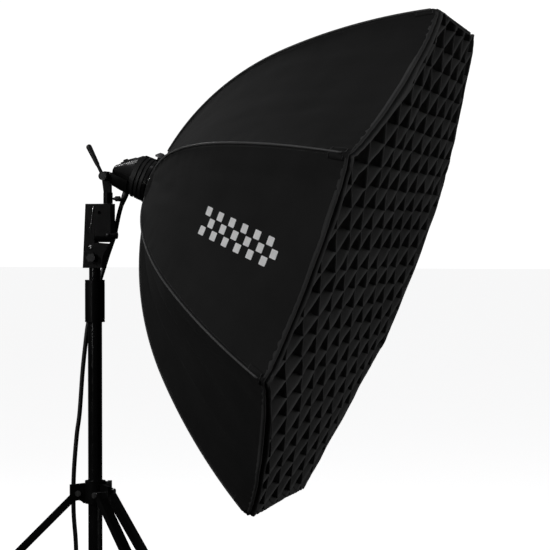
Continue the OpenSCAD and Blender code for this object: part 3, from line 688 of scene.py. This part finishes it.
def make_cuff():
    """Gathered elastic cuff between the fabric's rear edge and the speedring."""
    profile = [(0.0835, 0.0068), (0.0822, 0.0035), (0.0800, -0.0005), (0.0770, -0.0045), (0.0738, -0.0075),
               (0.0710, -0.0086), (0.0694, -0.0072), (0.0690, -0.0040)]
    around, gathers = 288, 40
    verts = []
    for i, (r, z) in enumerate(profile):
        pull = 0.0011 * math.sin(math.pi * (i + 0.4) / len(profile))
        for j in range(around):
            angle = TAU * j / around
            ripple = math.sin(angle * gathers + 0.9 * math.sin(3 * angle))
            share = max(0.0, 1 - i / 3)
            reach = r * (1 + share * (octagon_radius(1, angle) / 0.965 - 1)) + pull * ripple
            height = z + 0.4 * pull * ripple
            verts.append(head_point(reach * math.cos(angle), reach * math.sin(angle), height))
    verts, faces = thicken(verts, flip(grid_faces(len(profile), around, True)), 0.0009)
    cuff = new_object("gathered_cuff", verts, faces, SHADERS["black_fabric"].material)
    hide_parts("rear_cuff")
    return finish_piece(cuff, "softbox")


# ---- inside the softbox ----

LIP_STEPS = 1440                       # quarter degrees round the axis

def octagon_radius(radius, angle):
    return radius * math.cos(STEP / 2) / math.cos((angle - FIRST_CORNER) % STEP - STEP / 2)


def lip_table(z, inset):
    """Radius just inside the fabric at place z on the axis, for each quarter degree round it."""
    table = []
    for i in range(LIP_STEPS + 1):
        turn = (TAU * i / LIP_STEPS - FIRST_CORNER) % TAU
        k = int(turn / STEP)
        a = 0.5 + math.tan(turn - k * STEP - STEP / 2) / (2 * math.tan(STEP / 2))
        a = min(max(a, 0.0), 1.0)
        low, high = 0.8, 1.0
        for _ in range(11):
            t = (low + high) / 2
            point = skin(k, a, t, -FABRIC - inset) - RING
            if point.dot(AXIS) < z:
                low = t
            else:
                high = t
        table.append(math.hypot(point.dot(SIDE), point.dot(RISE)))
    return table


def lip_radius(table, angle):
    place = angle % TAU / TAU * LIP_STEPS
    i = int(place)
    return table[i] + (table[i + 1] - table[i]) * (place - i)


def octagon_sheet(name, edge, z, belly, thickness):
    """A white sheet stretched inside an edge, with tension folds that run out to its corners."""
    rings, around = 26, 160
    verts = []
    for i in range(1, rings + 1):
        share = i / rings
        for j in range(around):
            angle = TAU * j / around
            reach = edge(angle) * share
            toward = math.cos(CORNERS * (angle - FIRST_CORNER))
            lift = belly * (1 - share ** 2)
            lift += 0.0016 * smoothstep(share * 2 - 1) * toward * math.cos(9 * share)
            place = Vector((share * 3 * math.cos(angle), share * 3 * math.sin(angle), z))
            lift += 0.0015 * noise.noise(place)
            verts.append(head_point(reach * math.cos(angle), reach * math.sin(angle), z - lift))
    verts.append(head_point(0, 0, z - belly))
    faces = flip(grid_faces(rings, around, True))
    faces += [(len(verts) - 1, j, (j + 1) % around) for j in range(around)]
    verts, faces = thicken(verts, faces, thickness)
    return new_object(name, verts, faces, SHADERS["diffuser_fabric"].material)


def make_diffuser():
    table = lip_table(DEPTH - RECESS - 0.003, 0.003)
    sheet = octagon_sheet("diffuser_sheet", lambda angle: lip_radius(table, angle),
                          DEPTH - RECESS, 0.006, 0.0005)
    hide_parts("front_diffuser")
    finish_piece(sheet, "softbox")


def make_baffle():
    """The inner baffle, with an elastic strap from each corner to its rod."""
    sheet = octagon_sheet("baffle_sheet", lambda angle: octagon_radius(BAFFLE_R, angle),
                          BAFFLE_Z, 0.01, 0.0005)
    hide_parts("inner_baffle")
    finish_piece(sheet, "softbox")
    share = next(i / 400 for i in range(400) if arc(i / 400)[0].y > BAFFLE_Z)
    rod = arc(share)[0]
    outline = [(-0.006, -0.0006), (0.006, -0.0006), (0.006, 0.0006), (-0.006, 0.0006)]
    sweeps = []
    for k in range(CORNERS):
        angle = corner_angle(k)
        path = []
        for i in range(7):
            reach = BAFFLE_R - 0.012 + (rod.x - 0.004 - BAFFLE_R + 0.012) * i / 6
            path.append(head_point(reach * math.cos(angle), reach * math.sin(angle),
                                   BAFFLE_Z + 0.0012 + 0.003 * math.sin(math.pi * i / 6)))
        across = head_point(-math.sin(angle), math.cos(angle), 0) - RING
        sweeps.append((path, outline, False, [(across, AXIS)] * len(path)))
    straps = join_sweeps("baffle_straps", sweeps, SHADERS["tie_strap"].material)
    finish_piece(straps, "softbox")


# ---- diamond grid ----

CELL_W, CELL_H = 0.061, 0.048          # half the width and height of a diamond
STRIP_DEPTH = 0.050
# the grid's perimeter band: its radius at the front, and at its rear, where the shell is narrower
GRID_EDGE = lip_table(DEPTH - 0.005, 0.003)
GRID_REAR = lip_table(DEPTH - RECESS, 0.004)
GRID_BASE = DEPTH - RECESS + 0.0015    # the grid's rear edge, just in front of the diffuser
STRIP_HALF, HEM_HALF = 0.0005, 0.00095
HEM = 0.005
STRIP_PROFILE = [(-STRIP_HALF, 0), (-STRIP_HALF, STRIP_DEPTH - HEM - 0.001), (-HEM_HALF, STRIP_DEPTH - HEM),
                 (-HEM_HALF, STRIP_DEPTH - 0.0006), (0, STRIP_DEPTH), (HEM_HALF, STRIP_DEPTH - 0.0006),
                 (HEM_HALF, STRIP_DEPTH - HEM), (STRIP_HALF, STRIP_DEPTH - HEM - 0.001), (STRIP_HALF, 0)]


def edge_radius(angle, z_share):
    """Radius of the perimeter band, which follows the inside of the shell."""
    rear = lip_radius(GRID_REAR, angle)
    return rear + (lip_radius(GRID_EDGE, angle) - rear) * min(1.0, z_share / 0.8)


def loosen(x, y, z_share):
    """Where a point of the grid really hangs: the front edges wander more than the sewn back."""
    angle = math.atan2(y, x)
    room = 1 - math.hypot(x, y) / lip_radius(GRID_EDGE, angle)
    hold = smoothstep(room / 0.05)
    reach = (0.0012 + 0.0048 * z_share) * hold
    place = Vector((x * 21, y * 21, z_share * 0.8))
    x += reach * noise.noise(place)
    y += reach * noise.noise(place + Vector((7.7, 3.1, 5.5))) - 0.002 * z_share * hold
    edge = (angle - FIRST_CORNER) % TAU / STEP
    a = 0.5 + math.tan((edge % 1 - 0.5) * STEP) / (2 * math.tan(STEP / 2))
    bow = FRONT_BOWS[int(edge) % CORNERS] * bow_share(a)
    z = 0.012 * smoothstep(room / 0.35) + bow * (1 - smoothstep(room / 0.5))
    z += 0.0022 * noise.noise(Vector((x * 16, y * 16, 9.0)))
    pull = min(1.0, (edge_radius(angle, z_share) - 0.0008) / max(math.hypot(x, y), 0.001))
    return x * pull, y * pull, z * z_share


def strip_line(slope, n):
    """The two ends, in the grid's plane, of the strip x / CELL_W + slope * y / CELL_H = n."""
    along = Vector((CELL_W, -slope * CELL_H)).normalized()
    start = Vector((n * CELL_W / 2, slope * n * CELL_H / 2))
    inside = []
    steps = 2600
    for i in range(steps + 1):
        point = start + along * ((i / steps - 0.5) * 2.6 * CORNER_R)
        if point.length < lip_radius(GRID_EDGE, math.atan2(point.y, point.x)) - 0.001:
            inside.append(point)
    return (inside[0], inside[-1]) if len(inside) > 30 else None


def grid_strip(first, second):
    """Points and faces of one strip between two points of the grid's plane."""
    count = max(6, int((second - first).length / 0.0075))
    across = Vector(((second - first).y, -(second - first).x)).normalized()
    size = len(STRIP_PROFILE)
    verts = []
    for i in range(count + 1):
        point = first + (second - first) * (i / count)
        for half, depth in STRIP_PROFILE:
            x, y, z = loosen(point.x, point.y, depth / STRIP_DEPTH)
            verts.append(head_point(x + half * across.x, y + half * across.y, GRID_BASE + depth + z))
    faces = grid_faces(count + 1, size, True)
    faces.append(tuple(reversed(range(size))))
    faces.append(tuple(count * size + j for j in range(size)))
    return verts, faces


def perimeter_band():
    """The band that the strips are sewn to, against the inside of the front edge."""
    around = 480
    verts = []
    for i in range(around):
        angle = TAU * i / around
        for half, depth in STRIP_PROFILE:
            radius = edge_radius(angle, depth / STRIP_DEPTH) - half
            x, y = radius * math.cos(angle), radius * math.sin(angle)
            z = loosen(x, y, depth / STRIP_DEPTH)[2]
            verts.append(head_point(x, y, GRID_BASE + depth + z))
    size = len(STRIP_PROFILE)
    faces = []
    for i in range(around):
        for j in range(size):
            a, b = i * size + j, i * size + (j + 1) % size
            c, d = (i + 1) % around * size + (j + 1) % size, (i + 1) % around * size + j
            faces.append((a, b, c, d))
    return verts, faces


def make_grid():
    verts, faces = [], []

    def gather(more, more_faces):
        faces.extend(tuple(i + len(verts) for i in face) for face in more_faces)
        verts.extend(more)

    reach = int(CORNER_R / CELL_W + CORNER_R / CELL_H) | 1
    for slope in (-1, 1):
        for n in range(-reach, reach + 1, 2):
            ends = strip_line(slope, n)
            if ends:
                gather(*grid_strip(*ends))
    gather(*perimeter_band())
    grid = new_object("grid_strips", verts, faces, SHADERS["grid_fabric"].material)
    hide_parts("softgrid")
    return finish_piece(grid, "softbox")


# ---- printed mark: a plain checkered band on the near side panel ----

MARK_PANEL = 1
MARK_START = 0.465                     # middle of the first column, metres from the rods' roots
MARK_ACROSS = -0.020                   # middle of the first row, metres from the panel's middle
MARK_ROWS, MARK_COLUMNS = 3, 12
MARK_PITCH = 0.022
MARK_SQUARE = 0.0195                   # side of a square
MARK_CORNER = 0.002                    # radius of its corners


def on_panel(across, along, lift):
    """A point on the marked panel, metres across from its middle and along from the rods' roots."""
    t = along / ARC
    width = 2 * arc(t)[0].x * math.sin(STEP / 2)
    return skin(MARK_PANEL, 0.5 + across / width, t, lift)


def block_outline(side, radius):
    """A square with round corners, about its middle, as (across, along) pairs."""
    points = []
    for quarter, (sx, sy) in enumerate(((1, 1), (-1, 1), (-1, -1), (1, -1))):
        for i in range(5):
            angle = math.pi / 2 * (quarter + i / 4)
            across = sx * (side / 2 - radius) + radius * math.cos(angle)
            along = sy * (side / 2 - radius) + radius * math.sin(angle)
            points.append((across, along))
    return points


def printed(blocks, outline):
    """Thin raised prints, the same outline at each block's (across, along) place."""
    verts, faces = [], []
    size = len(outline)
    for across, along in blocks:
        start = len(verts)
        for lift in (0.00045, 0.0001):
            verts += [on_panel(across + x, along + y, lift) for x, y in outline]
        for j in range(size):
            k = (j + 1) % size
            faces.append(tuple(start + i for i in (k, j, size + j, size + k)))
        faces.append(tuple(start + j for j in range(size)))
        faces.append(tuple(start + size + j for j in reversed(range(size))))
    mark = new_object("printed_mark", verts, faces, PRINT.material, False)
    return finish_piece(mark, "softbox")


def make_mark():
    """A checkered band: rows of equal squares, every other one printed."""
    blocks = []
    for row in range(MARK_ROWS):
        for column in range(MARK_COLUMNS):
            if (row + column) % 2 == 0:
                across = MARK_ACROSS + row * MARK_PITCH
                blocks.append((across, MARK_START + column * MARK_PITCH))
    return printed(blocks, block_outline(MARK_SQUARE, MARK_CORNER))


# ---- cable ----

CABLE_R = 0.0055
ROUTE_MM = [(19, -56, 1194), (34, -45, 1168), (49, -33, 1138), (59, -13, 1092), (58, 7, 1030), (52, 22, 975),
            (47, 34, 925), (45, 41, 870), (44, 48, 804), (42, 55, 705), (40, 62, 649), (38, 69, 555),
            (41, 71, 463), (49, 68, 378), (60, 72, 295), (76, 83, 210), (93, 101, 135), (107, 123, 78),
            (119, 147, 38), (127, 172, 14), (129.5, 196, 5.5)]
GLAND_LOCAL = (0.017, -0.0823, -0.078)  # end of the gland in the head's frame
COIL_X = COIL_Y = 0.212
COIL_MID = 0.066
TURNS_WIDE = 4
SHIFT = math.radians(90)               # stretch of each turn in which it moves over to the next


def coil_path():
    """Two layers of turns, wound inwards on the floor and back outwards on top, clockwise from -X."""
    outer = COIL_MID + (TURNS_WIDE - 1) * CABLE_R
    turns = [(outer - 2 * CABLE_R * i, CABLE_R) for i in range(TURNS_WIDE)]
    turns += [(r, 3 * CABLE_R) for r, z in reversed(turns)]
    turns.append(turns[-1])
    path = []
    steps = 48
    for i in range(len(turns) - 1):
        for j in range(steps):
            angle = TAU * j / steps
            share = smoothstep((angle - (TAU - SHIFT)) / SHIFT)
            r = turns[i][0] + (turns[i + 1][0] - turns[i][0]) * share
            z = turns[i][1] + (turns[i + 1][1] - turns[i][1]) * share
            path.append(Vector((COIL_X - r * math.cos(angle), COIL_Y + r * math.sin(angle), z)))
    for j in range(steps // 4 + 1):
        angle = TAU * j / steps
        x = COIL_X - outer * math.cos(angle)
        path.append(Vector((x, COIL_Y + outer * math.sin(angle), 3 * CABLE_R)))
    return path


def make_cable():
    start = head_point(*GLAND_LOCAL)
    route = [start] + [Vector(point) / 1000 for point in ROUTE_MM]
    path = catmull(route, 6)[:-1] + coil_path()
    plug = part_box("cable_plug")
    end = Vector((plug[0][0] + 0.021, path[-1].y, path[-1].z))
    path += [path[-1] + (end - path[-1]) * i / 6 for i in range(1, 7)]
    cable = join_sweeps("head_cable", [(path, round_outline(CABLE_R, 14), False, None)],
                        SHADERS["cable"].material)
    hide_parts("cable_tube", "cable_coil")
    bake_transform(cable)
    strap = make_tie()


def make_tie():
    """Hook and loop strap round one side of the coil, with its free end on top."""
    half = TURNS_WIDE * CABLE_R + 0.0014
    top = 4 * CABLE_R + 0.0014
    bend = 0.006
    low = 0.0009
    corners = [(half - bend, low + bend, -90), (half - bend, top - bend, 0), (bend - half, top - bend, 90),
               (bend - half, low + bend, 180)]
    path = []
    for x, z, turn in corners:
        for i in range(7):
            angle = math.radians(turn + 15 * i)
            place = COIL_X + COIL_MID + x + bend * math.cos(angle)
            path.append(Vector((place, COIL_Y, z + bend * math.sin(angle))))
    outline = [(-0.008, -0.0006), (0.008, -0.0006), (0.008, 0.0006), (-0.008, 0.0006)]
    count = len(path)
    frames = []
    for i in range(count):
        along = (path[(i + 1) % count] - path[i - 1]).normalized()
        frames.append((Vector((0, 1, 0)), along.cross(Vector((0, 1, 0)))))
    tail = [Vector((COIL_X + COIL_MID - 0.016 + 0.005 * i, COIL_Y, top + 0.0012 + 0.0012 * max(0, i - 5)))
            for i in range(9)]
    tail_frames = [(Vector((0, 1, 0)), Vector((0, 0, 1)))] * len(tail)
    strap = join_sweeps("coil_strap", [(path, outline, True, frames), (tail, outline, False, tail_frames)],
                        SHADERS["tie_strap"].material)
    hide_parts("cable_tie")
    return finish_piece(strap, "stand")


# ---- small metal trim on the swivel adapter ----

def turned(place, profile):
    """A round piece about the X axis; the profile gives radius and distance towards -X."""
    around = 28
    verts = []
    for radius, out in profile:
        for j in range(around):
            angle = TAU * j / around
            offset = Vector((-out, radius * math.cos(angle), radius * math.sin(angle)))
            verts.append(place + offset)
    faces = grid_faces(len(profile), around, True)
    faces.append(tuple(range(around)))
    faces.append(tuple((len(profile) - 1) * around + j for j in reversed(range(around))))
    return verts, faces


def make_swivel_trim():
    """A slim guide bar, a bolt cap and two small screws on the adapter's side."""
    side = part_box("swivel_lower")[0][0]
    cap = [(0.0052, -0.001), (0.0052, 0.0010), (0.0044, 0.0019), (0.0030, 0.0022), (0.0027, 0.0014)]
    screw = [(0.0024, -0.001), (0.0024, 0.0006), (0.0019, 0.0011), (0.0011, 0.0011), (0.0010, 0.0005)]
    verts, faces = [], []
    for y, z, profile in ((0.0045, 1.1116, cap), (-0.0005, 1.0880, screw), (0.0065, 1.0790, screw)):
        more, more_faces = turned(Vector((side, y, z)), profile)
        faces += [tuple(i + len(verts) for i in face) for face in more_faces]
        verts += more
    caps = new_object("adapter_caps", verts, faces, POLISHED.material)
    finish_piece(caps, "swivel_lower")
    top, low = Vector((side - 0.0004, -0.0030, 1.2100)), Vector((side - 0.0004, 0.0060, 1.1470))
    path = [top + (low - top) * i / 8 for i in range(9)]
    bar = join_sweeps("adapter_guide_bar", [(path, round_outline(0.0014, 16), False, None)],
                      POLISHED.material)
    return finish_piece(bar, "swivel_lower")


FLANGE_R = 0.0617                      # of the adapter ring's flange, in the head's frame
FLANGE_Z = -0.0108


def make_flange_edge():
    """The bright turned edge of the adapter ring, just behind the softbox's cuff."""
    path = []
    for i in range(96):
        angle = TAU * i / 96
        path.append(head_point(FLANGE_R * math.cos(angle), FLANGE_R * math.sin(angle), FLANGE_Z))
    edge = join_sweeps("flange_edge", [(path, round_outline(0.0011, 12), True, None)], POLISHED.material)
    return finish_piece(edge, "head")


# ---- the carried-over CAD nodes ----

def dress_nodes():
    for row in frame["record"]["subparts"]:
        node = NODES[row["node"]]
        node.data.materials.clear()
        slot = "black_metal" if row["node"] == "spigot" else row["material_slot"]
        node.data.materials.append(SHADERS[slot].material)


# ---- the scene ----

bpy.context.scene.view_settings.view_transform = "Standard"
make_camera()
make_cable()
make_floor()
make_world()
make_lights()
dress_nodes()

shell = make_shell()
trims = [make_piping(), make_seam_stitching(), make_binding(), make_mark()] + make_pockets()
make_cuff()
make_diffuser()
make_baffle()
make_grid()
make_swivel_trim()
make_flange_edge()
